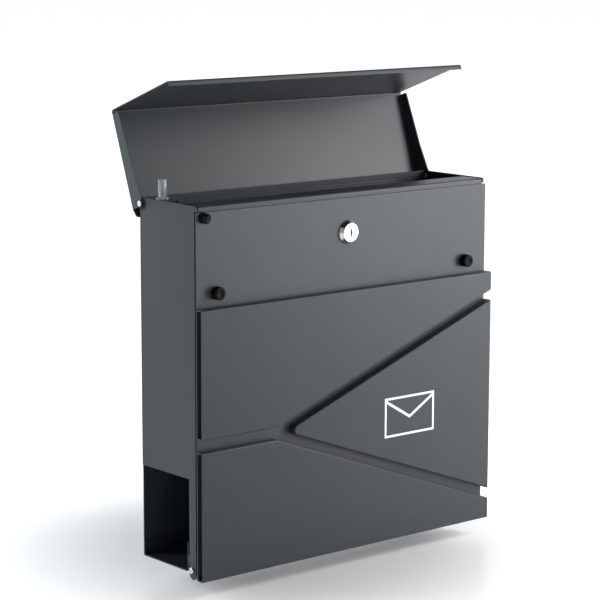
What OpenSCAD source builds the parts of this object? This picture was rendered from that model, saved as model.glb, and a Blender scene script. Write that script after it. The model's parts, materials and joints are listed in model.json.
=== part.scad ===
// Wall letter box in folded sheet steel: a top lid hinged at the rear, a bottom-hinged front
// door with three raised front plates, and an open newspaper tunnel under the compartment.
// Millimetres. In the modules z = 0 is the bottom edge of the door and y = 0 the rear face of
// the back panel, with the front towards -Y. F() then moves the origin to the centre of the
// four wall screw holes, on the rear faces of the wall spacers.

/* [Overall size] */
// Width of the front, over the raised plates
door_w = 370; // [340:1:400]
// Depth of the body from its back panel to the door's inner face
body_d = 88; // [80:1:110]
// Height of the side walls above the bottom edge of the door
wall_h = 353.5; // [340:0.5:380]
// Sheet thickness
sheet = 1.2; // [1:0.1:1.5]

/* [Newspaper tunnel] */
// Height of the tunnel's ceiling above the bottom edge of the door
tunnel_h = 95; // [80:1:110]
// Width of the front post beside the tunnel
post_w = 10.2; // [9:0.1:15]

/* [Front plates] */
// How far the raised plates stand out from the door
plate_out = 9.3; // [7.5:0.1:12]
// Height of the level groove on the left
groove = 12.2; // [8:0.1:15]
// Height of the groove's middle above the bottom edge
split_z = 130.1; // [115:0.1:145]
// Distance from the door's left edge to the fork of the grooves
fork_x = 90; // [60:1:120]
// Distance from the fork to the point of the middle plate
point_gap = 10.6; // [8:0.1:14]
// Height of the upper plate at its right end
upper_end = 19.1; // [14:0.1:30]
// Height of the lower plate at its right end
lower_end = 21.2; // [14:0.1:30]
// Rounding of the middle plate's point
point_r = 5.4; // [4:0.1:8]

/* [Lid] */
// Angle that the lid turns through from shut to its open stop
lid_angle = 110; // [90:0.1:110]
// Height of the lid's front lip
lip_h = 97.8; // [92:0.1:105]
// Depth of the return along the lip's free edge
lip_return = 5.3; // [4:0.1:6]

/* [Lock] */
// Distance from the top of the side walls down to the lock
lock_down = 39.5; // [36:0.5:50]
// Radius of the lock's barrel
barrel_r = 8.6; // [8:0.1:9.5]

/* [Wall fixing] */
// Distance between the wall holes, side to side
hole_dx = 280; // [240:1:300]
// Distance between the wall holes, up and down
hole_dz = 190; // [150:1:200]
// Radius of the wall holes
hole_r = 3.1; // [2.5:0.1:4]
// Thickness of the wall spacers
spacer_t = 12.5; // [12:0.5:16]

/* [Hidden] */
$fn = 48;
t = sheet;
weld = 0.1;                    // gap between sheets that are spot-welded together
edge_gap = 3.3;                // gap between the door and the side walls' front edges
rail_gap = 0.4;                // gap between the door and the front rail
side_in = 2.5;                 // how far the side walls stand inside the plates' ends
lid_gap = 0.7;                 // gap between a side wall and the lid's flange
hx = door_w/2;                 // half width of the plates
door_hx = hx - 1.2;            // half width of the door panel
wx = hx - side_in;             // outer face of the side walls
lx = wx + lid_gap + t;         // outer face of the lid's flanges
yi = -body_d;                  // inner face of the door
yd = yi - t;                   // outer face of the door
yp = yd - plate_out;           // outer face of the plates
door_top = wall_h - 5.8;
rail_d = 26;                   // height of the front rail
rail_top = 27;                 // depth of the rail's top flange
foot_r = 9.1;                  // rounding of the posts' lower front corners
rail_side = 2.5;               // gap between the rail and the outside of the side walls

// lid and its hinge
lid_y = -3;
lid_z = wall_h - 5.5;
lid_top = lid_z + 13.6;
lid_rear = -0.5;               // rear end of the flat top
lid_front = yp + 0.3;          // front of the lip
lip_z = lid_top - lip_h;
lid_pin_r = 1.75;
run = 0.05;                    // running clearance of the hinge pins

// door hinge
hinge_y = yi + 9.5;
hinge_z = 7.5;
door_pin_r = 2;
door_washer_t = 1.6;
ear_x = wx - t - door_washer_t - 0.1;  // outer face of the door's ears

// buffers between the door and the shut lid
buffer_gap = 0.3;
buffer_h = yd - lid_front - t - buffer_gap;
buffer_r = 6.3;
buffer_right = hx - 29.8;
buffer_left = -hx + 24;
buffer_z = lip_z + t + buffer_r + 0.4;
plug_r = 2;                    // radius of the rubber stems

// front plates
plate_top = lip_z - 5.5;
fork = -hx + fork_x;
point = fork + point_gap;
upper_z = split_z + groove/2;
lower_z = split_z - groove/2;
upper_slope = (plate_top - upper_end - upper_z)/(hx - fork);
lower_slope = (lower_z - lower_end)/(hx - fork);

// studs and nuts that hold the plates
stud_r = 2;
stud_head_r = 3.2;
stud_end = 6;
nut_r = 4.04;
nut_t = 3.2;
washer_r = 4.5;
washer_t = 0.8;

// lock
lock_z = wall_h - lock_down;
barrel_l = 11.9;               // from the door's inner face to the barrel's rear end
plug_turn_r = barrel_r - 2.3;
cam_t = 2;
cam_l = 24.5;
cam_h = 11;
cam_slack = 1.8;               // gap between the locked cam and the front rail
square = 6;                    // square end of the plug

// soft-close damper at the left wall
damper_gap = 0.3; // between the damper and its bracket's wall flange
damper_y = -24.9;
damper_r = 5.2;
damper_x = -wx + 2*sheet + damper_gap + damper_r;
bore_r = 4.15;
plunger_r = 4.1;

// wall fixing
hole_z2 = wall_h - 53;
hole_z1 = hole_z2 - hole_dz;
hole_mid = (hole_z1 + hole_z2)/2;
screw_head_r = 6.5;

paint = [0.22, 0.24, 0.25];
nylon = [0.04, 0.04, 0.045];
zinc = [0.72, 0.73, 0.75];
chrome = [0.86, 0.87, 0.88];
rubber = [0.03, 0.03, 0.03];
clear = [0.85, 0.9, 0.92, 0.4];

// ---- helpers ----
module F() translate([0, -spacer_t, -hole_mid]) children();
// outline in (y, z), pulled along x
module along_x(a, b) translate([a, 0, 0]) rotate([90, 0, 90]) linear_extrude(b - a) children();
// outline in (x, z), pulled along y from the front a to the rear b
module along_y(a, b) translate([0, b, 0]) rotate([90, 0, 0]) linear_extrude(b - a) children();
module box(x0, x1, y0, y1, z0, z1) translate([x0, y0, z0]) cube([x1 - x0, y1 - y0, z1 - z0]);
// round bar along x, at (y, z)
module bar_x(x0, x1, y, z, r) translate([x0, y, z]) rotate([0, 90, 0]) cylinder(h = x1 - x0, r = r);
// round bar along y, at (x, z)
module bar_y(y0, y1, x, z, r) translate([x, y1, z]) rotate([90, 0, 0]) cylinder(h = y1 - y0, r = r);
module both() {
  children();
  mirror([1, 0, 0]) children();
}

function unit(v) = v/norm(v);
function left_of(v) = [-v[1], v[0]];
function cross2(a, b) = a[0]*b[1] - a[1]*b[0];
function turn(v, a) = [v[0]*cos(a) - v[1]*sin(a), v[0]*sin(a) + v[1]*cos(a)];
function arc(c, r, a, b, n = 10) = [for (k = [0:n]) c + r*[cos(a + (b - a)*k/n), sin(a + (b - a)*k/n)]];
// rounds the corner q between p and s: a list of [point, left normal]
function bend(p, q, s, r, n) =
  let (d = unit(q - p), e = unit(s - q), w = cross2(d, e) > 0 ? 1 : -1,
    th = acos(max(-1, min(1, d*e))), c = q - d*(r*tan(th/2)) + w*r*left_of(d))
  [for (k = [0:n]) let (m = left_of(turn(d, w*th*k/n))) [c - w*r*m, m]];
// a line through the points P with rounded corners: a list of [point, left normal]
function route(P, r, n) = let (l = len(P) - 1) concat([[P[0], left_of(unit(P[1] - P[0]))]],
  [for (i = [1:l - 1]) each bend(P[i-1], P[i], P[i+1], r, n)], [[P[l], left_of(unit(P[l] - P[l-1]))]]);
// section of a sheet of thickness h folded along the centre line P
function fold(P, h, r, n = 4) = let (q = route(P, r, n)) concat([for (e = q) e[0] + e[1]*h/2],
  [for (i = [len(q)-1:-1:0]) q[i][0] - q[i][1]*h/2]);

// ---- body ----
module wall_holes(r, y0, y1)
  for (x = [-hole_dx/2, hole_dx/2], z = [hole_z1, hole_z2]) bar_y(y0, y1, x, z, r);
module body_shell() color(paint) F() difference() {
  union() {
    box(-wx + t/2, wx - t/2, -t, 0, 5, wall_h);
    both() {
      // side wall over the tunnel, and the front post beside the tunnel
      along_x(-wx, -wx + t) polygon(concat(
        [[0, wall_h], [0, tunnel_h], [yi + edge_gap + post_w, tunnel_h], [yi + edge_gap + post_w, hinge_z - 3.5]],
        arc([yi + edge_gap + post_w - 5, hinge_z - 3.5], 5, 0, -75, 6),
        arc([hinge_y, hinge_z], foot_r, -90, acos((hinge_y - yi - edge_gap)/foot_r) - 180, 8),
        // notch for the door's upper edge
        [[yi + edge_gap, door_top + 0.8], [yi + rail_gap, door_top + 0.8],
         [yi + rail_gap, wall_h - 1.5], [yi + rail_gap + 1.5, wall_h]]));
      // front edge folded inwards behind the door
      box(-wx + t/2, -wx + 12, yi + edge_gap, yi + edge_gap + t, 24, wall_h - 36);
    }
  }
  wall_holes(hole_r, -t - 1, 1);
  for (s = [-1, 1]) {
    bar_x(s*wx - 3, s*wx + 3, lid_y, lid_z, lid_pin_r);
    bar_x(s*wx - 3, s*wx + 3, hinge_y, hinge_z, door_pin_r);
  }
}
module compartment_floor() color(paint) F() {
  rear = -t - weld - t/2;
  difference() {
    along_x(-wx + t + weld, wx - t - weld)
      polygon(fold([[rear, tunnel_h + 9], [rear, tunnel_h + t/2],
        [yi + 11, tunnel_h + t/2], [yi + 11, tunnel_h - 9]], t, 2));
    // the screw heads clear the rear flange
    wall_holes(screw_head_r, -2*t - 1, 1);
  }
  both() box(-wx + t + weld, -wx + 2*t + weld, yi + 16, -8, tunnel_h + t/2, tunnel_h + 12);
}
tray_z = 5;                    // underside of the bottom panel
tray_front = yi + 17.8;        // upstand along the tray's front
module bottom_panel() color(paint) F() {
  rear = -t - weld - t/2;
  along_x(-wx, wx) polygon(fold([[rear, 20], [rear, tray_z + t/2], [tray_front + 0.6, tray_z + t/2]], t, 2));
  along_x(-wx + t + weld, wx - t - weld)
    polygon(fold([[tray_front + 6, tray_z + t/2], [tray_front, tray_z + t/2], [tray_front, 33]], t, 2));
  both() box(-wx + t + weld, -wx + 2*t + weld, yi + 5, tray_front + 0.2, 13, 21);
}
module front_rail() color(paint) F() {
  y0 = yi + rail_gap;
  rx = wx - rail_side;
  intersection() {
    // web behind the door's upper edge, top flange and its turned-down rear edge
    along_x(-rx, rx) polygon(fold([[y0 + t/2, wall_h - rail_d], [y0 + t/2, wall_h - 0.4 - t/2],
      [y0 + rail_top, wall_h - 0.4 - t/2], [y0 + rail_top, wall_h - 9]], t, 1.4));
    along_y(yi, 0) polygon(concat([[-rx, wall_h - rail_d], [rx, wall_h - rail_d]],
      arc([rx - 2, wall_h - 2.4], 2, 0, 90, 5), arc([-rx + 2, wall_h - 2.4], 2, 90, 180, 5)));
  }
  both() {
    box(-wx + t, -rx + weld, y0, yi + 16, wall_h - 24, wall_h - 9);
    box(-rx - weld, -rx + t, y0, yi + 16, wall_h - 24, wall_h - 9);
  }
}
module rear_stiffener() color(paint) F() {
  y0 = -1.5*t;
  y1 = y0 - 6.4;
  z1 = wall_h - 6;
  along_x(-wx + 43, wx - 43)
    polygon(fold([[y0, z1], [y0, z1 - 4], [y1, z1 - 6], [y1, z1 - 16], [y0, z1 - 18], [y0, z1 - 24]], t, 1.2, 3));
}
module spacer(x, z) color(nylon) F() difference() {
  union() {
    bar_y(0, spacer_t, x, z, 8);
    bar_y(0, 3, x, z, 10);
  }
  bar_y(-1, spacer_t + 1, x, z, hole_r);
}
module spacer_top_left() spacer(-hole_dx/2, hole_z2);
module spacer_top_right() spacer(hole_dx/2, hole_z2);
module spacer_bottom_left() spacer(-hole_dx/2, hole_z1);
module spacer_bottom_right() spacer(hole_dx/2, hole_z1);

// ---- hinges ----
module lid_pin() {
  bar_x(-lx - 1.6, -lx - 0.1, lid_y, lid_z, 2.9);
  bar_x(-lx - 0.2, -wx + t + 1.2, lid_y, lid_z, lid_pin_r);
  bar_x(-wx + t, -wx + t + 1.2, lid_y, lid_z, 2.9);
}
module lid_pin_left() color(zinc) F() lid_pin();
module lid_pin_right() color(zinc) F() mirror([1, 0, 0]) lid_pin();
module lid_washer() difference() {
  bar_x(-lx + t + run, -wx, lid_y, lid_z, 6.2);
  bar_x(-lx, -wx + 1, lid_y, lid_z, lid_pin_r);
}
module lid_washer_left() color(nylon) F() lid_washer();
module lid_washer_right() color(nylon) F() mirror([1, 0, 0]) lid_washer();
module door_pin() {
  inner = -ear_x + t + 0.2;
  difference() {
    union() {
      bar_x(-wx - 1.8, -wx, hinge_y, hinge_z, 3.2);
      bar_x(-wx - 0.1, inner + 1.7, hinge_y, hinge_z, door_pin_r);
      bar_x(inner, inner + 1.7, hinge_y, hinge_z, 3.2);
    }
    // dimple in the rivet's head
    bar_x(-wx - 2, -wx - 0.6, hinge_y, hinge_z, 1.2);
  }
}
module door_pin_left() color(zinc) F() door_pin();
module door_pin_right() color(zinc) F() mirror([1, 0, 0]) door_pin();
module door_washer() difference() {
  bar_x(-wx + t, -wx + t + door_washer_t, hinge_y, hinge_z, 4.6);
  bar_x(-wx, -ear_x + 1, hinge_y, hinge_z, door_pin_r);
}
module door_washer_left() color(nylon) F() door_washer();
module door_washer_right() color(nylon) F() mirror([1, 0, 0]) door_washer();

// ---- soft-close damper ----
module damper_bracket() color(zinc) F() difference() {
  union() {
    box(-wx + t, -wx + 2*t, damper_y - 9, damper_y + 9, wall_h - 24, wall_h);
    box(-wx + t, damper_x + damper_r + 2.4, damper_y - 9, damper_y + 9, wall_h - t, wall_h);
  }
  translate([damper_x, damper_y, wall_h - t - 1]) cylinder(h = t + 2, r = damper_r);
}
module damper_housing() color(clear) F() difference() {
  union() {
    translate([damper_x, damper_y, wall_h - 30]) cylinder(h = 30, r = damper_r);
    translate([damper_x, damper_y, wall_h]) cylinder(h = 2, r = damper_r + 1.2);
  }
  translate([damper_x, damper_y, wall_h - 28.5]) cylinder(h = 40, r = bore_r);
}
module damper_plunger() color(clear) F() {
  translate([damper_x, damper_y, wall_h - 15]) cylinder(h = 33.2, r = plunger_r);
  translate([damper_x, damper_y, wall_h + 18.2]) cylinder(h = 0.9, r = plunger_r - 0.7);
}

// ---- door and its raised plates ----
function upper_edge(x) = upper_z + upper_slope*max(0, x - fork);
function lower_edge(x) = lower_z - lower_slope*max(0, x - fork);
function point_top(x) = split_z + upper_slope*(x - point);
function point_bottom(x) = split_z - lower_slope*(x - point);
stud_side = hx - 20;
stud_mid = 60;
upper_at = [for (x = [-stud_side, -stud_mid, stud_mid, stud_side]) [x, (upper_edge(x) + plate_top)/2]];
lower_at = [for (x = [-stud_side, -stud_mid, stud_mid, stud_side]) [x, lower_edge(x)/2]];
middle_x = hx - 35;
middle_at = [[point + 74, split_z], [middle_x, (split_z + point_top(middle_x))/2],
  [middle_x, (split_z + point_bottom(middle_x))/2]];
corner_x = -hx + 9.3;
corner_z = wall_h - 10.7;
module door_holes(P, r) for (p = P) bar_y(yd - 1, yi + 1, p[0], p[1], r);
module door_panel() color(paint) F() difference() {
  union() {
    box(-door_hx, door_hx, yd, yi, 0, door_top);
    // ears for the hinge pins
    both() along_x(-ear_x, -ear_x + t) polygon(concat(
      [[yi - t/2, 1.3], [yi - t/2, 22], [yi + 3, 22]], arc([hinge_y, hinge_z], 6, 90, -90, 12)));
  }
  door_holes([[0, lock_z]], barrel_r);
  for (P = [upper_at, middle_at, lower_at]) door_holes(P, stud_r + 0.1);
  door_holes([[buffer_left, buffer_z], [buffer_right, buffer_z], [corner_x, corner_z]], plug_r);
  for (s = [-1, 1]) bar_x(s*wx - 8, s*wx + 8, hinge_y, hinge_z, door_pin_r + run);
}
module door_stiffener(x) color(paint) F() translate([0, 0, tunnel_h + 25])
  linear_extrude(lock_z - tunnel_h - 60) polygon(fold([[x - 15, yi + t/2], [x - 9, yi + t/2],
    [x - 7, yi + 7], [x + 7, yi + 7], [x + 9, yi + t/2], [x + 15, yi + t/2]], t, 1.2, 3));
module door_stiffener_left() door_stiffener(-hx + 70);
module door_stiffener_right() door_stiffener(hx - 70);

// the plates are trays with their left and right ends open; t_line is how far
// a slanting edge moves up or down when it is set in by the sheet thickness
over = 1;
function t_line(slope) = t*sqrt(1 + slope*slope);
function t_fork(slope) = slope == 0 ? 0 : t*(1 - sqrt(1 + slope*slope))/slope;
module upper_plate() color(paint) F() difference() {
  along_y(yp, yd) polygon([[-hx, upper_z], [fork, upper_z], [hx, upper_edge(hx)],
    [hx, plate_top], [-hx, plate_top]]);
  along_y(yp + t, yd + 1) polygon([[-hx - over, upper_z + t], [fork + t_fork(upper_slope), upper_z + t],
    [hx + over, upper_edge(hx + over) + t_line(upper_slope)],
    [hx + over, plate_top - t], [-hx - over, plate_top - t]]);
}
module lower_plate() color(paint) F() difference() {
  along_y(yp, yd) polygon([[-hx, lower_z], [fork, lower_z], [hx, lower_edge(hx)], [hx, 0], [-hx, 0]]);
  along_y(yp + t, yd + 1) polygon([[-hx - over, lower_z - t], [fork + t_fork(lower_slope), lower_z - t],
    [hx + over, lower_edge(hx + over) - t_line(lower_slope)], [hx + over, t], [-hx - over, t]]);
}
// rounded wedge up to x, set in by d
function wedge(x, d) = [for (e = route([[x, point_top(x)], [point, split_z], [x, point_bottom(x)]], point_r, 12))
  e[0] + e[1]*d];
module middle_plate() color(paint) F() difference() {
  along_y(yp, yd) polygon(wedge(hx, 0));
  along_y(yp + t, yd + 1) polygon(wedge(hx + over, t));
}
// printed envelope outline
sign_x = 74.2;
sign_z = split_z - 4.9;
sign_w = 33;                   // half width
sign_h = 20;                   // half height
sign_line = 2.2;
flap_z = 0.4;                  // the flap's point, below the middle
module envelope_sign() color([0.93, 0.93, 0.92]) F() along_y(yp - 0.2, yp) translate([sign_x, sign_z]) {
  inner_w = sign_w - sign_line;
  inner_h = sign_h - sign_line;
  difference() {
    square([2*sign_w, 2*sign_h], center = true);
    square([2*inner_w, 2*inner_h], center = true);
  }
  // flap
  polygon([[-inner_w - 0.1, inner_h], [-inner_w - 0.1, inner_h - 3], [0, -flap_z - 3],
    [inner_w + 0.1, inner_h - 3], [inner_w + 0.1, inner_h], [0, -flap_z]]);
}
module studs(P) for (p = P) {
  bar_y(yp + t, yi + stud_end, p[0], p[1], stud_r);
  bar_y(yp + t, yp + t + 1, p[0], p[1], stud_head_r);
}
module upper_studs() color(zinc) F() studs(upper_at);
module middle_studs() color(zinc) F() studs(middle_at);
module lower_studs() color(zinc) F() studs(lower_at);
module nuts(P) for (p = P) difference() {
  union() {
    translate([p[0], yi + washer_t + nut_t, p[1]]) rotate([90, 0, 0]) cylinder(h = nut_t, r = nut_r, $fn = 6);
    bar_y(yi, yi + washer_t, p[0], p[1], washer_r);
  }
  bar_y(yi - 1, yi + stud_end, p[0], p[1], stud_r);
}
module upper_nuts() color(zinc) F() nuts(upper_at);
module middle_nuts() color(zinc) F() nuts(middle_at);
module lower_nuts() color(zinc) F() nuts(lower_at);

// ---- rubber buffers on the door ----
module bumper(x) color(rubber) F() {
  bar_y(yd - buffer_h, yd, x, buffer_z, buffer_r);
  bar_y(yd - 0.5, yi + 0.2, x, buffer_z, plug_r);
  bar_y(yi, yi + 2.2, x, buffer_z, plug_r + 1.4);
}
module bumper_left() bumper(buffer_left);
module bumper_right() bumper(buffer_right);
// corner buffer that leans inwards and down
lean_down = 11;
lean_in = 22;
corner_r = 4.7;
module corner_stop() color(rubber) F() {
  along = cos(lean_down)*cos(lean_in);
  reach = (buffer_h - corner_r*sqrt(1 - along*along))/along;
  bar_y(yd - 0.9, yi, corner_x, corner_z, plug_r);
  bar_y(yd - 1.2, yd, corner_x, corner_z, 5.4);
  difference() {
    translate([corner_x, yd, corner_z]) rotate([90 + lean_down, 0, lean_in])
      translate([0, 0, -1]) cylinder(h = reach + 1, r = corner_r);
    box(corner_x - 12, corner_x + 12, yd - 0.3, yd + 6, corner_z - 12, corner_z + 12);
  }
}

// ---- cam lock ----
cam_y = yi + barrel_l + 0.5;
module lock_housing() color(chrome) F() difference() {
  union() {
    bar_y(yd - 1.2, yd, 0, lock_z, barrel_r + 3.2);
    translate([0, yd - 1.1, lock_z]) rotate([90, 0, 0]) cylinder(h = 3.1, r1 = barrel_r + 3.2, r2 = barrel_r + 0.7);
    bar_y(yd - 0.5, yi + barrel_l, 0, lock_z, barrel_r);
  }
  bar_y(yd - 6, yi + barrel_l + 1, 0, lock_z, plug_turn_r);
}
module lock_nut() color(zinc) F() difference() {
  translate([0, yi + 3, lock_z]) rotate([90, 0, 0]) cylinder(h = 3, r = barrel_r + 3.3, $fn = 6);
  bar_y(yi - 1, yi + 4, 0, lock_z, barrel_r);
}
module lock_plug() color(chrome) F() difference() {
  union() {
    bar_y(yd - 4.3, cam_y, 0, lock_z, plug_turn_r - 0.06);
    box(-square/2, square/2, cam_y - 0.1, cam_y + cam_t, lock_z - square/2, lock_z + square/2);
  }
  // keyway with its side notch
  box(-0.7, 0.7, yd - 5, yd + 4, lock_z - 4.2, lock_z + 4.2);
  box(-0.7, 1.9, yd - 5, yd + 4, lock_z - 1.1, lock_z + 1.1);
}
// cranked arm: flat on the plug, then bent forward to reach behind the front rail
module lock_cam() color(zinc) F() difference() {
  tip_y = yi + rail_gap + t + cam_slack + cam_t/2;
  hub_y = cam_y + cam_t/2;
  translate([0, 0, lock_z - cam_h/2]) linear_extrude(cam_h)
    polygon(fold([[-6.5, hub_y], [barrel_r + 2.4, hub_y], [barrel_r + 7.4, tip_y], [cam_l, tip_y]], cam_t, 1.5));
  box(-square/2, square/2, cam_y - 1, cam_y + cam_t + 1, lock_z - square/2, lock_z + square/2);
}
module cam_screw() color(zinc) F() bar_y(cam_y + cam_t, cam_y + cam_t + 1.8, 0, lock_z, 4.4);

// ---- lid, drawn shut and then turned to its open stop ----
module lid_shut() difference() {
  mid_z = lid_top - t/2;
  union() {
    // top, front lip and the lip's return
    along_x(-lx, lx) polygon(fold([[lid_rear - 1, mid_z], [lid_front + t/2, mid_z],
      [lid_front + t/2, lip_z + t/2], [lid_front + lip_return, lip_z + t/2]], t, 1.6));
    // skirt behind the hinge, which stops against the back panel
    along_x(-lx, lx) polygon(fold([[lid_rear - 3, mid_z], [lid_rear + 0.2, mid_z],
      [lid_rear + 7.1, lid_z + 10.2], [lid_rear + 8.2, lid_z + 8.3]], t, 1.4));
    // side flanges
    both() along_x(-lx, -lx + t) polygon([[lid_front + 4, mid_z], [lid_front + 4, lid_top - 8.6],
      [lid_front + 5.5, lid_top - 10.1], [-36.5, lid_top - 12.9], [-12, lid_z - 2.3],
      [-5, lid_z - 3.2], [lid_rear, lid_z - 2.6], [lid_rear, mid_z]]);
  }
  for (s = [-1, 1]) bar_x(s*lx - 4, s*lx + 4, lid_y, lid_z, lid_pin_r + run);
}
module lid() color(paint) F()
  translate([0, lid_y, lid_z]) rotate([-lid_angle, 0, 0]) translate([0, -lid_y, -lid_z]) lid_shut();

body_shell();
compartment_floor();
bottom_panel();
front_rail();
rear_stiffener();
spacer_top_left();
spacer_top_right();
spacer_bottom_left();
spacer_bottom_right();
lid_pin_left();
lid_pin_right();
lid_washer_left();
lid_washer_right();
door_pin_left();
door_pin_right();
door_washer_left();
door_washer_right();
damper_bracket();
damper_housing();
damper_plunger();
door_panel();
door_stiffener_left();
door_stiffener_right();
upper_plate();
middle_plate();
lower_plate();
envelope_sign();
upper_studs();
middle_studs();
lower_studs();
upper_nuts();
middle_nuts();
lower_nuts();
bumper_left();
bumper_right();
corner_stop();
lock_housing();
lock_nut();
lock_plug();
lock_cam();
cam_screw();
lid();
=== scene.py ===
"""Wall mailbox in folded sheet steel: looks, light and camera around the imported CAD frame."""
import json
import math
import bmesh
import bpy
from mathutils import Matrix, Vector


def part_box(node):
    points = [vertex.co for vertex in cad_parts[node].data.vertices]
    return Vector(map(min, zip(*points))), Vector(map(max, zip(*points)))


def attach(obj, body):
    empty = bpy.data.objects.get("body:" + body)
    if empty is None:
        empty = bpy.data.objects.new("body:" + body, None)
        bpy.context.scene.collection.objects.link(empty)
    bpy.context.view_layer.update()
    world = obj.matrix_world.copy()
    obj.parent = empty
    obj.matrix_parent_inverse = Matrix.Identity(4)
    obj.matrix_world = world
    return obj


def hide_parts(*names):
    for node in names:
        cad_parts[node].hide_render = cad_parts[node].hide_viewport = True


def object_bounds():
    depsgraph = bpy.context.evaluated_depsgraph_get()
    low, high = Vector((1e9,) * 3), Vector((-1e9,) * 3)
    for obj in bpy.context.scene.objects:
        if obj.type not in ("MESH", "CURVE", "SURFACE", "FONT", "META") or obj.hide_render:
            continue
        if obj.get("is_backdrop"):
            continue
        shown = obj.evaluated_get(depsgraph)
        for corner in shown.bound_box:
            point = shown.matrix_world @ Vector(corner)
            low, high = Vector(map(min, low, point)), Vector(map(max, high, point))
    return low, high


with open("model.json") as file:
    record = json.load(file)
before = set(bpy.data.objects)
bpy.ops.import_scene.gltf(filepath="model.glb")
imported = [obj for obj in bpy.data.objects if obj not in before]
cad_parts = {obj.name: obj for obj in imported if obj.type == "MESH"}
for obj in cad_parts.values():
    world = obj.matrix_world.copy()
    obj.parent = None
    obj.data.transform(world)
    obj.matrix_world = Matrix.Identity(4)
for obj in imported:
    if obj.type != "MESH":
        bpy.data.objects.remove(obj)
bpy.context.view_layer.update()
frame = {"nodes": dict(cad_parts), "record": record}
scene = bpy.context.scene
nodes = frame["nodes"]
MM = 0.001
SHEET = 1.2*MM
SPLIT_CORNER = 0.002*MM  # corners of the CAD meshes that lie closer than this are one
WHITE = (1.0, 1.0, 1.0, 1.0)
STAGE_COLOUR = (0.86, 0.87, 0.88, 1.0)


# ---------- materials ----------
def new_material(name):
    """A fresh node material and its Principled shader."""
    mat = bpy.data.materials.new(name)
    mat.use_nodes = True
    return mat, mat.node_tree.nodes["Principled BSDF"]


def add_node(mat, kind, **inputs):
    """A node of that kind, with its inputs set by name."""
    node = mat.node_tree.nodes.new(kind)
    for key, value in inputs.items():
        node.inputs[key.replace("_", " ")].default_value = value
    return node


def noise(mat, scale, detail=2.0, roughness=0.5):
    """Noise in object space, in cycles per metre."""
    coords = add_node(mat, "ShaderNodeTexCoord")
    tex = add_node(mat, "ShaderNodeTexNoise", Scale=scale, Detail=detail, Roughness=roughness)
    mat.node_tree.links.new(coords.outputs["Object"], tex.inputs["Vector"])
    return tex.outputs["Fac"]


def ramp(mat, source, low, high, start=0.35, end=0.65):
    """Maps a value between start and end to a colour between low and high."""
    node = add_node(mat, "ShaderNodeValToRGB")
    node.color_ramp.elements[0].position = start
    node.color_ramp.elements[1].position = end
    node.color_ramp.elements[0].color = (*low, 1.0)
    node.color_ramp.elements[1].color = (*high, 1.0)
    mat.node_tree.links.new(source, node.inputs["Fac"])
    return node.outputs["Color"]


def spread(mat, source, low, high):
    """Maps 0..1 to low..high."""
    node = add_node(mat, "ShaderNodeMapRange")
    node.inputs["To Min"].default_value = low
    node.inputs["To Max"].default_value = high
    mat.node_tree.links.new(source, node.inputs["Value"])
    return node.outputs["Result"]


def bump(mat, shader, source, distance, strength=1.0):
    """A bump of that depth in metres, on top of any bump already there."""
    node = add_node(mat, "ShaderNodeBump", Strength=strength, Distance=distance)
    mat.node_tree.links.new(source, node.inputs["Height"])
    if shader.inputs["Normal"].is_linked:
        before = shader.inputs["Normal"].links[0].from_socket
        mat.node_tree.links.new(before, node.inputs["Normal"])
    mat.node_tree.links.new(node.outputs["Normal"], shader.inputs["Normal"])


def powder_coat(name, base, rough):
    """Satin powder coat: orange-peel bump, fine grain, slight mottling and a painted highlight that makes
    the convex edges paler.
    """
    mat, shader = new_material(name)
    link = mat.node_tree.links.new
    mottling = noise(mat, 9.0, 3.0)
    colour = ramp(mat, mottling, [0.94*c for c in base], [1.06*c for c in base])
    grain = noise(mat, 2600.0, 2.0, 0.6)
    speck = add_node(mat, "ShaderNodeMixRGB", Fac=0.12)
    speck.blend_type = "OVERLAY"
    link(colour, speck.inputs["Color1"])
    link(ramp(mat, grain, (0.3, 0.3, 0.3), (0.7, 0.7, 0.7)), speck.inputs["Color2"])
    # painted highlight: convex edges, found by pointiness, get a colour 1.7 times the base
    geometry = add_node(mat, "ShaderNodeNewGeometry")
    edge_highlight_mask = ramp(mat, geometry.outputs["Pointiness"], (0.0, 0.0, 0.0), (1.0, 1.0, 1.0), 0.53, 0.62)
    painted_edge_highlight = add_node(mat, "ShaderNodeMixRGB")
    painted_edge_highlight.inputs["Color2"].default_value = (*[1.7*c for c in base], 1.0)
    link(edge_highlight_mask, painted_edge_highlight.inputs["Fac"])
    link(speck.outputs["Color"], painted_edge_highlight.inputs["Color1"])
    link(painted_edge_highlight.outputs["Color"], shader.inputs["Base Color"])
    link(spread(mat, noise(mat, 420.0, 2.0), rough - 0.05, rough + 0.05), shader.inputs["Roughness"])
    shader.inputs["Specular IOR Level"].default_value = 0.28
    orange_peel = noise(mat, 330.0, 2.0)
    bump(mat, shader, orange_peel, 0.04*MM)
    bump(mat, shader, grain, 0.008*MM)
    return mat


def moulded(name, base, rough, grain_scale=1500.0, depth=0.03*MM):
    """Moulded rubber or nylon with a matt grain and faint dusting."""
    mat, shader = new_material(name)
    link = mat.node_tree.links.new
    dust = noise(mat, 120.0, 4.0)
    link(ramp(mat, dust, base, [1.6*c + 0.002 for c in base], 0.45, 0.8), shader.inputs["Base Color"])
    shader.inputs["Specular IOR Level"].default_value = 0.12
    link(spread(mat, dust, rough - 0.06, rough + 0.08), shader.inputs["Roughness"])
    bump(mat, shader, noise(mat, grain_scale, 3.0), depth)
    return mat


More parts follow.
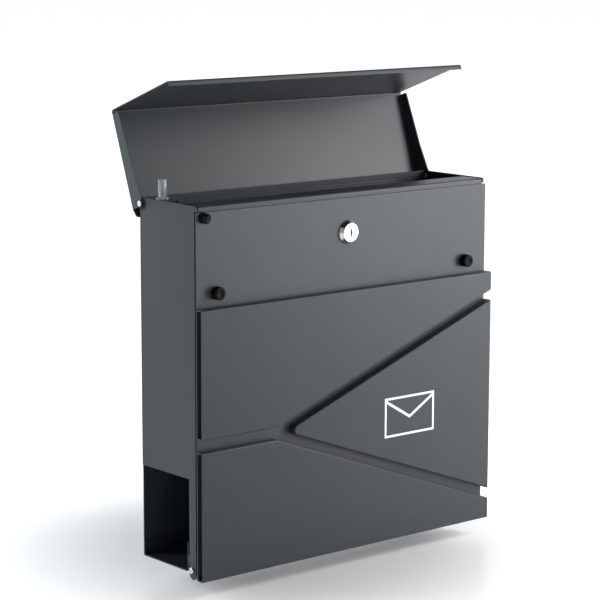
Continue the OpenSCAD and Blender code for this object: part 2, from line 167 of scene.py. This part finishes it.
def metal(name, base, rough, scratch=0.006*MM):
    """Plated metal with fine drawn lines and cloudy roughness."""
    mat, shader = new_material(name)
    link = mat.node_tree.links.new
    cloud = noise(mat, 260.0, 3.0)
    link(ramp(mat, cloud, [0.88*c for c in base], base), shader.inputs["Base Color"])
    link(spread(mat, cloud, max(0.02, rough - 0.05), rough + 0.06), shader.inputs["Roughness"])
    shader.inputs["Metallic"].default_value = 1.0
    coords = add_node(mat, "ShaderNodeTexCoord")
    stretch = add_node(mat, "ShaderNodeMapping", Scale=(900.0, 9000.0, 900.0))
    lines = add_node(mat, "ShaderNodeTexNoise", Scale=1.0, Detail=2.0)
    link(coords.outputs["Object"], stretch.inputs["Vector"])
    link(stretch.outputs["Vector"], lines.inputs["Vector"])
    bump(mat, shader, lines.outputs["Fac"], scratch)
    return mat


def clear_plastic(name):
    """Clear moulded plastic with faint flow lines."""
    mat, shader = new_material(name)
    link = mat.node_tree.links.new
    flow = noise(mat, 600.0, 2.0)
    link(ramp(mat, flow, (0.82, 0.86, 0.87), (0.93, 0.95, 0.95)), shader.inputs["Base Color"])
    link(spread(mat, flow, 0.1, 0.2), shader.inputs["Roughness"])
    shader.inputs["Transmission Weight"].default_value = 0.86
    shader.inputs["IOR"].default_value = 1.49
    bump(mat, shader, flow, 0.02*MM)
    return mat


def white_print(name):
    """Screen-printed white ink with a slightly uneven coat."""
    mat, shader = new_material(name)
    link = mat.node_tree.links.new
    grain = noise(mat, 1800.0, 3.0)
    link(ramp(mat, grain, (0.84, 0.84, 0.83), (0.93, 0.93, 0.92)), shader.inputs["Base Color"])
    link(spread(mat, grain, 0.4, 0.55), shader.inputs["Roughness"])
    bump(mat, shader, grain, 0.01*MM)
    return mat


MATERIALS = {
    "anthracite_paint": powder_coat("anthracite_paint", (0.0205, 0.0255, 0.029), 0.40),
    "black_nylon": moulded("black_nylon", (0.012, 0.012, 0.013), 0.5),
    "zinc_steel": metal("zinc_steel", (0.56, 0.57, 0.59), 0.34),
    "chrome_lock": metal("chrome_lock", (0.64, 0.65, 0.66), 0.2, 0.003*MM),
    "clear_plastic": clear_plastic("clear_plastic"),
    "black_rubber": moulded("black_rubber", (0.003, 0.003, 0.003), 0.62, 1100.0, 0.04*MM),
    "white_print": white_print("white_print"),
}
SLOT_OF = {part["node"]: part["material_slot"] for part in frame["record"]["subparts"]}


# ---------- helpers for pieces ----------
def soften(obj, width, segments=2, angle=30.0):
    """Rounds the edges sharper than angle, to width in mm, with even shading on the flat faces."""
    weld = obj.modifiers.new("weld", "WELD")
    weld.merge_threshold = SPLIT_CORNER
    edge = obj.modifiers.new("edge", "BEVEL")
    edge.width = width*MM
    edge.segments = segments
    edge.limit_method = "ANGLE"
    edge.angle_limit = math.radians(angle)
    shading = obj.modifiers.new("shading", "WEIGHTED_NORMAL")
    shading.weight = 100
    shading.keep_sharp = False


def new_object(name, bm, material):
    """Turns a bmesh into an object in the scene, with one material."""
    mesh = bpy.data.meshes.new(name)
    bm.to_mesh(mesh)
    bm.free()
    mesh.materials.append(material)
    obj = bpy.data.objects.new(name, mesh)
    scene.collection.objects.link(obj)
    return obj


def piece(name, bm, body, node):
    """Makes a smooth mesh object that rides on a body and stands for a CAD node."""
    bmesh.ops.recalc_face_normals(bm, faces=bm.faces)
    obj = new_object(name, bm, MATERIALS[SLOT_OF[node]])
    obj.data.shade_smooth()
    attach(obj, body)
    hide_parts(node)
    return obj


def centre(node):
    """Middle of a CAD node's box."""
    low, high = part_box(node)
    return (Vector(low) + Vector(high))/2


def lathe(bm, profile, origin, axis, sides=64):
    """Turns a profile of (radius, distance along the axis), in mm, about an axis."""
    turn = Vector((0, 0, 1)).rotation_difference(Vector(axis)).to_matrix().to_4x4()
    place = Matrix.Translation(origin) @ turn
    rings = []
    for radius, height in profile:
        if radius < 1e-6:
            rings.append([bm.verts.new(place @ Vector((0, 0, height*MM)))])
            continue
        ring = []
        for k in range(sides):
            a = 2*math.pi*k/sides
            corner = Vector((radius*MM*math.cos(a), radius*MM*math.sin(a), height*MM))
            ring.append(bm.verts.new(place @ corner))
        rings.append(ring)
    for low, high in zip(rings, rings[1:]):
        for k in range(sides):
            a, b = low[k % len(low)], low[(k + 1) % len(low)]
            c, d = high[(k + 1) % len(high)], high[k % len(high)]
            corners = list(dict.fromkeys((a, b, c, d)))
            if len(corners) > 2:
                bm.faces.new(corners)


def quarter(radius, height, r, start, end, steps=5):
    """Points of a small fillet of radius r about (radius, height), between two angles in degrees."""
    points = []
    for k in range(steps + 1):
        a = math.radians(start + (end - start)*k/steps)
        points.append((radius + r*math.cos(a), height + r*math.sin(a)))
    return points


# ---------- CAD nodes that keep their shape ----------
# width of the rounded edges in mm; the thin print keeps its sharp ones
EDGE_WIDTH = {"anthracite_paint": 0.35, "black_nylon": 0.4, "zinc_steel": 0.2, "chrome_lock": 0.35,
              "clear_plastic": 0.3, "black_rubber": 0.5}
for node_name, node in nodes.items():
    slot_name = SLOT_OF[node_name]
    node.data.materials.clear()
    node.data.materials.append(MATERIALS[slot_name])
    if slot_name in EDGE_WIDTH:
        soften(node, EDGE_WIDTH[slot_name])
DOOR_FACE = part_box("door_panel")[0][1]


# ---------- rubber buffers ----------
def buffer(name):
    """Push-in rubber buffer: collar at the door, rounded shoulder and a shallow dished face."""
    low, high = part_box(name)
    mid = centre(name)
    radius = (high[0] - low[0])/2/MM
    front = (DOOR_FACE - low[1])/MM
    back = (high[1] - DOOR_FACE)/MM
    shoulder = 1.4
    lip = 0.45
    waist = radius - 0.35
    stem = 1.95
    profile = [(0, front - 0.7), (radius*0.5, front - 0.62)]
    profile += quarter(radius*0.62, front - lip, lip, 120, 60)
    profile += quarter(radius - shoulder, front - shoulder, shoulder, 90, 0, 8)
    profile += [(radius - 0.05, 1.9), (waist, 1.6), (waist, 1.2), (radius, 0.9), (radius, 0.1)]
    profile += [(radius - 0.2, 0.0), (stem, 0.0), (stem, -1.3)]
    profile += [(3.4, -1.35), (3.1, -back + 0.5), (2.4, -back), (0, -back)]
    bm = bmesh.new()
    lathe(bm, profile, Vector((mid.x, DOOR_FACE, mid.z)), (0, -1, 0))
    piece(name + "_rubber", bm, "door", name)


def corner_buffer():
    """Leaning rubber buffer on a round collar, with a rounded tip and a waist above the collar."""
    low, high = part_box("corner_stop")
    collar = 5.4
    radius = 4.7
    stem = 1.95
    down = math.radians(11)
    inward = math.radians(22)
    origin = Vector((low[0] + collar*MM, DOOR_FACE, high[2] - collar*MM))
    axis = Vector((math.cos(down)*math.sin(inward), -math.cos(down)*math.cos(inward), -math.sin(down)))
    rim = radius*math.sqrt(1 - axis.y**2)
    reach = ((DOOR_FACE - low[1])/MM - rim)/-axis.y
    back = (high[1] - DOOR_FACE)/MM
    bm = bmesh.new()
    profile = [(0, reach - 0.5), (radius*0.55, reach - 0.4)]
    profile += quarter(radius*0.68, reach - 0.3, 0.3, 120, 60, 3)
    profile += quarter(radius - 1.0, reach - 1.0, 1.0, 90, 0, 6)
    profile += [(radius, 3.0), (radius - 0.5, 2.4), (radius - 0.6, 1.6), (radius - 0.3, 0.9)]
    profile += [(radius - 0.3, -0.6), (0, -0.6)]
    lathe(bm, profile, origin, axis)
    base = [(0, 1.25), (collar - 1.3, 1.25)] + quarter(collar - 0.6, 0.65, 0.6, 90, 0, 4)
    base += [(collar, 0.0), (stem, 0.0), (stem, -back), (0, -back)]
    lathe(bm, base, origin, (0, -1, 0))
    piece("corner_stop_rubber", bm, "door", "corner_stop")


# ---------- rivets ----------
def rivet(name, side, head_r, head_t, inner_t, shank_r, dimple_r, dimple):
    """Round-headed rivet along X with a punched dimple. side is -1 at the left and 1 at the right."""
    low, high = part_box(name)
    mid = centre(name)
    outer = max(abs(low[0]), abs(high[0]))
    length = (high[0] - low[0])/MM
    edge = min(0.7, head_t*0.6)
    profile = [(0, -dimple), (dimple_r*0.8, -dimple), (dimple_r, -0.05)]
    profile += [(dimple_r + 0.25, 0.0)] + quarter(head_r - edge, -edge, edge, 80, 0)
    profile += [(head_r - 0.05, -head_t + 0.1), (head_r - 0.25, -head_t), (shank_r, -head_t)]
    profile += [(shank_r, -length + inner_t), (head_r - 0.2, -length + inner_t)]
    profile += quarter(head_r - 0.4, -length + 0.4, 0.4, 0, -90, 3) + [(0, -length)]
    bm = bmesh.new()
    lathe(bm, profile, Vector((side*outer, mid.y, mid.z)), (side, 0, 0), 48)
    piece(name + "_rivet", bm, "body", name)


# ---------- lock ----------
def lock_bezel():
    """Turned lock housing: flange, cone, polished ring round the plug and a threaded barrel."""
    low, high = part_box("lock_housing")
    mid = centre("lock_housing")
    flange_r = (high[0] - low[0])/2/MM
    front = (DOOR_FACE - low[1])/MM
    back = (high[1] - DOOR_FACE)/MM
    bore = 6.3
    face_r = flange_r - 2.5
    barrel_r = flange_r - 3.2
    thread_depth = 0.45
    profile = [(bore, -back), (bore, front - 0.35), (bore + 0.25, front - 0.12), (bore + 0.5, front)]
    profile += quarter(face_r - 0.45, front - 0.45, 0.45, 80, 15, 5)
    profile += [(flange_r - 0.25, 1.25)] + quarter(flange_r - 0.35, 0.75, 0.35, 50, 0, 4)
    profile += [(flange_r, 0.0), (barrel_r, 0.0)]
    for turn in range(int(back - 1.5)):  # the thread's pitch is 1 mm
        profile += [(barrel_r, -1.4 - turn), (barrel_r - thread_depth, -1.9 - turn)]
    profile += [(barrel_r - 0.3, -back), (bore, -back)]
    bm = bmesh.new()
    lathe(bm, profile, Vector((mid.x, DOOR_FACE, mid.z)), (0, -1, 0), 96)
    bmesh.ops.remove_doubles(bm, verts=bm.verts, dist=1e-7)
    piece("lock_bezel", bm, "door", "lock_housing")


def painted_slot_shade():
    """Black sheet in the shape of the key slot with its side notch, just proud of the plug's face: painted
    shade for the dark inside of the slot.
    """
    face_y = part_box("lock_plug")[0][1]
    mid = centre("lock_plug")
    enlarged = 1.2
    proud = 0.06*MM
    thickness = 0.5*MM
    outline = [(-0.5, -3.9), (0.45, -3.9), (0.45, -1.2), (1.7, -0.9), (1.7, 0.7), (0.75, 0.9), (0.75, 3.2),
               (0.3, 3.9), (-0.5, 3.9), (-0.5, 1.6), (-1.0, 1.1), (-1.0, -1.0), (-0.5, -1.5)]
    bm = bmesh.new()
    rim = [bm.verts.new((mid.x + enlarged*x*MM, face_y - proud, mid.z + enlarged*z*MM)) for x, z in outline]
    wall = bmesh.ops.extrude_face_region(bm, geom=[bm.faces.new(rim)])
    for v in wall["geom"]:
        if isinstance(v, bmesh.types.BMVert):
            v.co.y += thickness
    bmesh.ops.recalc_face_normals(bm, faces=bm.faces)
    # the black sheet is painted shade standing for the dark inside of the key slot
    obj = new_object("lock_keyway_painted_shade", bm, MATERIALS["black_nylon"])
    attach(obj, "lock")


# ---------- damper ----------
def damper_cup():
    """Clear cup with a collar at its top."""
    low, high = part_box("damper_housing")
    mid = centre("damper_housing")
    depth = (high[2] - low[2])/MM
    collar = (high[0] - low[0])/2/MM
    tube = collar - 1.2
    bore = 4.15
    floor = -depth + 1.5
    profile = [(0, floor), (bore, floor), (bore, -0.3), (bore + 0.3, 0.0), (collar - 0.5, 0.0)]
    profile += quarter(collar - 0.4, -0.4, 0.4, 90, 0, 3)
    profile += [(collar, -1.6), (collar - 0.2, -2.0), (tube, -2.0)]
    profile += [(tube, -depth + 0.6), (tube - 0.6, -depth), (0, -depth)]
    bm = bmesh.new()
    lathe(bm, profile, Vector((mid.x, mid.y, high[2])), (0, 0, 1), 48)
    piece("damper_cup", bm, "body", "damper_housing")


def damper_rod():
    """Clear hollow plunger with a thick end cap."""
    low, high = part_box("damper_plunger")
    mid = centre("damper_plunger")
    length = (high[2] - low[2])/MM
    outer = 4.1
    inner = 2.9
    cap = 1.9
    profile = [(0, 0.0), (2.6, 0.0)] + quarter(outer - 0.9, -0.9, 0.9, 90, 0, 5)
    profile += [(outer, -length + 0.3), (outer - 0.3, -length), (inner, -length)]
    profile += [(inner, -2.6), (inner - 0.8, -cap), (0, -cap)]
    bm = bmesh.new()
    lathe(bm, profile, Vector((mid.x, mid.y, high[2])), (0, 0, 1), 48)
    piece("damper_rod", bm, "damper", "damper_plunger")


# ---------- door and raised plates ----------
def joined_copy(name):
    """The CAD node's mesh with its split corners joined."""
    bm = bmesh.new()
    bm.from_mesh(nodes[name].data)
    bmesh.ops.remove_doubles(bm, verts=bm.verts, dist=SPLIT_CORNER)
    return bm


def merge_flats(bm):
    """Merges the triangles of each flat face."""
    bmesh.ops.dissolve_limit(bm, angle_limit=math.radians(1), verts=bm.verts, edges=bm.edges)


def wall_groups(bm):
    """Groups of joined faces that run along Y, in the mesh's order, which is the same each run."""
    waiting = dict.fromkeys(f for f in bm.faces if abs(f.normal.y) < 0.1)
    groups = []
    while waiting:
        group = [waiting.popitem()[0]]
        for face in group:
            for edge in face.edges:
                near = [f for f in edge.link_faces if f in waiting]
                for f in near:
                    del waiting[f]
                group += near
        groups.append(group)
    return groups


def close_holes(bm, narrowest=2*MM, widest=24*MM, deepest=1.5*MM):
    """Shrinks each hole along Y to a point, if its size is within the limits. What sits in it hides that."""
    for group in wall_groups(bm):
        ring = list(dict.fromkeys(v for f in group for v in f.verts))
        low = Vector([min(v.co[k] for v in ring) for k in range(3)])
        high = Vector([max(v.co[k] for v in ring) for k in range(3)])
        span = high - low
        if max(span.x, span.z) > widest or min(span.x, span.z) < narrowest or span.y > deepest:
            continue
        bmesh.ops.delete(bm, geom=group, context="FACES_ONLY")
        for level in (low.y, high.y):
            rim = [v for v in ring if v.is_valid and abs(v.co.y - level) < 0.01*MM]
            bmesh.ops.pointmerge(bm, verts=rim, merge_co=((low.x + high.x)/2, level, (low.z + high.z)/2))
    bmesh.ops.delete(bm, geom=[e for e in bm.edges if not e.link_faces], context="EDGES")


def door_sheet():
    """The CAD door with its holes closed, so that its large face shades evenly."""
    bm = joined_copy("door_panel")
    close_holes(bm)
    merge_flats(bm)
    obj = piece("door_sheet", bm, "door", "door_panel")
    soften(obj, 0.45, 3, 50.0)


def folds(bm, y, end_x):
    """The fold lines at that depth, without the cut edges at the plate's left and right ends."""
    found = []
    for e in bm.edges:
        a, b = (v.co for v in e.verts)
        level = abs(a.y - y) < 0.02*MM and abs(b.y - y) < 0.02*MM
        cut = abs(abs(a.x) - end_x) < 0.05*MM and abs(a.x - b.x) < 0.05*MM
        if level and not cut and len(e.link_faces) == 2 and e.calc_face_angle(0) > math.radians(30):
            found.append(e)
    return found


def pressed_plate(name):
    """The CAD tray with its fold lines rounded as a press brake leaves them."""
    bm = joined_copy(name)
    merge_flats(bm)
    low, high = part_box(name)
    outside = 1.4*MM
    for y, radius, segments in ((low[1], outside, 5), (low[1] + SHEET, outside - SHEET, 3)):
        bmesh.ops.bevel(bm, geom=folds(bm, y, high[0]), offset=radius, offset_type="OFFSET",
                        segments=segments, profile=0.5, affect="EDGES", clamp_overlap=True)
    obj = piece(name + "_pressed", bm, "door", name)
    soften(obj, 0.2, 2, 50.0)


for side in ("left", "right"):
    buffer("bumper_" + side)
corner_buffer()
for side, sign in (("left", -1), ("right", 1)):
    rivet("lid_pin_" + side, sign, head_r=2.9, head_t=1.5, inner_t=1.2, shank_r=1.75,
          dimple_r=0.7, dimple=0.3)
    rivet("door_pin_" + side, sign, head_r=3.2, head_t=1.8, inner_t=1.7, shank_r=2.0,
          dimple_r=1.25, dimple=1.2)
lock_bezel()
painted_slot_shade()
damper_cup()
damper_rod()
door_sheet()
for plate in ("upper_plate", "middle_plate", "lower_plate"):
    pressed_plate(plate)


# ---------- camera ----------
def look(position, azimuth, elevation, roll, lens):
    """Camera at a position, turned by azimuth, elevation and roll in degrees, with its lens in mm."""
    az, el, ro = (math.radians(v) for v in (azimuth, elevation, roll))
    back = Vector((math.sin(az)*math.cos(el), -math.cos(az)*math.cos(el), math.sin(el)))
    right = Vector((math.cos(az), math.sin(az), 0.0))
    up = back.cross(right)
    right, up = math.cos(ro)*right + math.sin(ro)*up, -math.sin(ro)*right + math.cos(ro)*up
    data = bpy.data.cameras.new("camera")
    data.lens = lens
    data.sensor_width = 36.0
    data.clip_start = 0.05
    cam = bpy.data.objects.new("camera", data)
    cam.matrix_world = Matrix((
        (right.x, up.x, back.x, position[0]), (right.y, up.y, back.y, position[1]),
        (right.z, up.z, back.z, position[2]), (0, 0, 0, 1)))
    scene.collection.objects.link(cam)
    scene.camera = cam


look((-1.40268, -1.71971, 0.41100), azimuth=-39.68, elevation=9.78, roll=0.13, lens=134.28)


# ---------- floor, backdrop and light, in metres ----------
def stage_material(name, rough):
    """Pale grey that also gives off some white light, which the caller sets."""
    mat, shader = new_material(name)
    shader.inputs["Base Color"].default_value = STAGE_COLOUR
    shader.inputs["Roughness"].default_value = rough
    shader.inputs["Emission Color"].default_value = WHITE
    return mat, shader


def floor_material():
    """Glossy floor that glows strongly away from the object and weakly beside it; the weaker glow round the
    object is a painted shadow.
    """
    mat, shader = stage_material("floor", 0.3)
    shader.inputs["Specular IOR Level"].default_value = 0.6
    coords = add_node(mat, "ShaderNodeTexCoord")
    apart = add_node(mat, "ShaderNodeVectorMath")
    apart.operation = "LENGTH"
    # glow falls from 0.6 to 0.1 within 0.36 m of the object: a painted shadow round its base
    glow_with_painted_shadow = add_node(mat, "ShaderNodeMapRange", From_Min=0.12, From_Max=0.36, To_Min=0.1, To_Max=0.6)
    glow_with_painted_shadow.interpolation_type = "SMOOTHSTEP"
    link = mat.node_tree.links.new
    link(coords.outputs["Object"], apart.inputs[0])
    link(apart.outputs["Value"], glow_with_painted_shadow.inputs["Value"])
    link(glow_with_painted_shadow.outputs["Result"], shader.inputs["Emission Strength"])
    return mat


def stage_floor():
    """Large pale floor that curves up far behind the object."""
    door_dip = 0.0165  # the open door swings this far below the body
    half_width = 12.0
    near = -6.0
    far = 5.0
    curve = 3.0
    rise = 9.0
    outline = [(near, 0.0), (far, 0.0)]
    for angle in range(9, 91, 9):
        a = math.radians(angle)
        outline.append((far + curve*math.sin(a), curve - curve*math.cos(a)))
    outline.append((far + curve, rise))
    bm = bmesh.new()
    rows = [[bm.verts.new((x, y, z)) for x in (-half_width, half_width)] for y, z in outline]
    for a, b in zip(rows, rows[1:]):
        bm.faces.new((a[0], a[1], b[1], b[0]))
    bm.transform(Matrix.Rotation(math.radians(-40), 4, "Z"))
    floor = new_object("floor", bm, floor_material())
    floor.data.shade_smooth()
    floor.location.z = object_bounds()[0][2] - door_dip
    floor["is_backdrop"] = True


def stage_wall():
    """Pale ring round the object, open towards the floor's rise, so that other views end on a light wall."""
    radius = 11
    start = -254
    sweep = 250
    steps = 24
    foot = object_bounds()[0][2] - 0.5
    top = foot + 9.5
    columns = []
    bm = bmesh.new()
    for k in range(steps + 1):
        a = math.radians(start + sweep*k/steps)
        columns.append([bm.verts.new((radius*math.cos(a), radius*math.sin(a), z)) for z in (foot, top)])
    for a, b in zip(columns, columns[1:]):
        bm.faces.new((a[0], b[0], b[1], a[1]))
    mat, shader = stage_material("wall", 0.9)
    shader.inputs["Emission Strength"].default_value = 0.08
    wall = new_object("wall", bm, mat)
    wall.data.shade_smooth()
    wall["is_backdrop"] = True


def softbox(name, position, target, size, power, colour=(0.95, 0.99, 1.0)):
    """Rectangular area light of that power in watts, which faces a target."""
    data = bpy.data.lights.new(name, "AREA")
    data.shape = "RECTANGLE"
    data.size, data.size_y = size
    data.energy = power
    data.color = colour
    light = bpy.data.objects.new(name, data)
    light.location = position
    light.rotation_euler = (Vector(target) - Vector(position)).to_track_quat("-Z", "Y").to_euler()
    scene.collection.objects.link(light)


def faint_world():
    """Weak white light from all round."""
    world = bpy.data.worlds.new("studio")
    scene.world = world
    world.use_nodes = True
    background = world.node_tree.nodes["Background"]
    background.inputs["Color"].default_value = WHITE
    background.inputs["Strength"].default_value = 0.02


stage_floor()
stage_wall()
faint_world()
softbox("key", (1.3, -1.2, 0.9), target=(0.05, 0, 0.05), size=(0.9, 0.9), power=9)
softbox("low_sheen", (1.5, -1.4, -0.1), target=(0.05, 0, 0), size=(0.8, 0.8), power=24,
        colour=(0.99, 0.99, 0.99))
softbox("near_right", (0.6, -0.5, 0.35), target=(0.2, -0.1, 0.2), size=(0.3, 0.3), power=3.6,
        colour=(1.0, 0.985, 0.98))
softbox("back_left", (-1.8, 1.4, 0.9), target=(-0.1, 0, 0.1), size=(1.0, 1.2), power=35,
        colour=(0.88, 0.98, 1.0))
scene.view_settings.view_transform = "Standard"
